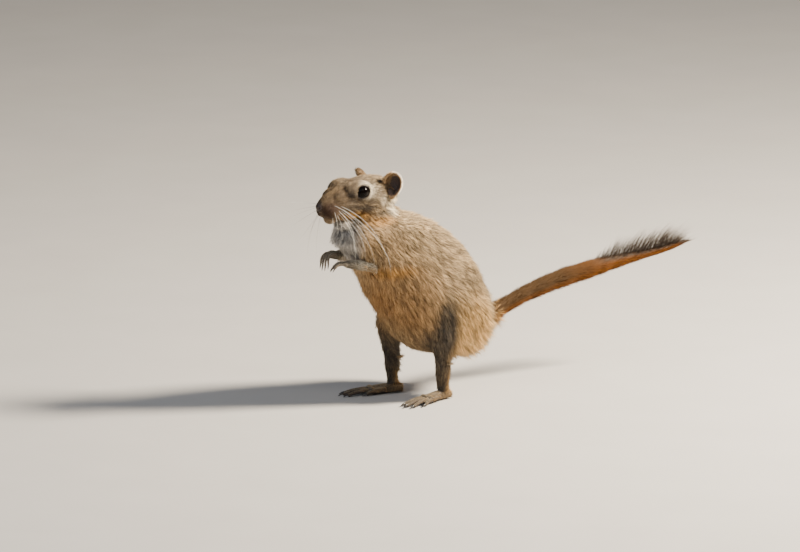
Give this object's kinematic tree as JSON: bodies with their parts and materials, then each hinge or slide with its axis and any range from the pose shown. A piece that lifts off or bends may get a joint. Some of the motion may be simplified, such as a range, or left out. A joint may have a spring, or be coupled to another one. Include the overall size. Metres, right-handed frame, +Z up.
{
  "type": "gerbil",
  "caption": "Still, life-size gerbil standing upright on its hind feet, forepaws held before the chest, tail out behind with a dark crest of long hair",
  "frame": {"origin": "on the floor, under the middle of the whole outline", "axes": "+Z up, +X from head to tail, so the animal faces -X with its left side towards -Y"},
  "size_m": [0.2893, 0.0678, 0.1577],
  "materials": {
    "coat": "short sandy-buff fur, dark-tipped along the back, cream on throat and eye ring",
    "paw_coat": "very short grey-buff fur on shanks, feet and hands",
    "ear_skin": "thin dark skin with a pale haired rim",
    "eye": "wet black",
    "claw": "black horn, slightly glossy",
    "tail_coat": "dense rust-orange hair, with a dark crest on the last part"
  },
  "bodies": {
    "root": {"head": "coat", "neck": "coat", "chest": "coat", "belly": "coat", "rump": "coat", "shoulder_left": "coat", "forearm_left": "coat", "hand_left": "paw_coat", "thigh_left": "coat", "shank_left": "paw_coat", "foot_left": "paw_coat", "ear_left": "ear_skin", "eye_left": "eye", "claw_hind_left_1": "claw", "claw_hind_left_2": "claw", "claw_hind_left_3": "claw", "claw_hind_left_4": "claw", "claw_hind_left_5": "claw", "claw_fore_left_1": "claw", "claw_fore_left_2": "claw", "claw_fore_left_3": "claw", "claw_fore_left_4": "claw", "shoulder_right": "coat", "forearm_right": "coat", "hand_right": "paw_coat", "thigh_right": "coat", "shank_right": "paw_coat", "foot_right": "paw_coat", "ear_right": "ear_skin", "eye_right": "eye", "claw_hind_right_1": "claw", "claw_hind_right_2": "claw", "claw_hind_right_3": "claw", "claw_hind_right_4": "claw", "claw_hind_right_5": "claw", "claw_fore_right_1": "claw", "claw_fore_right_2": "claw", "claw_fore_right_3": "claw", "claw_fore_right_4": "claw", "tail_root": "tail_coat", "tail_middle": "tail_coat", "tail_brush": "tail_coat"}
  },
  "joints": []
}
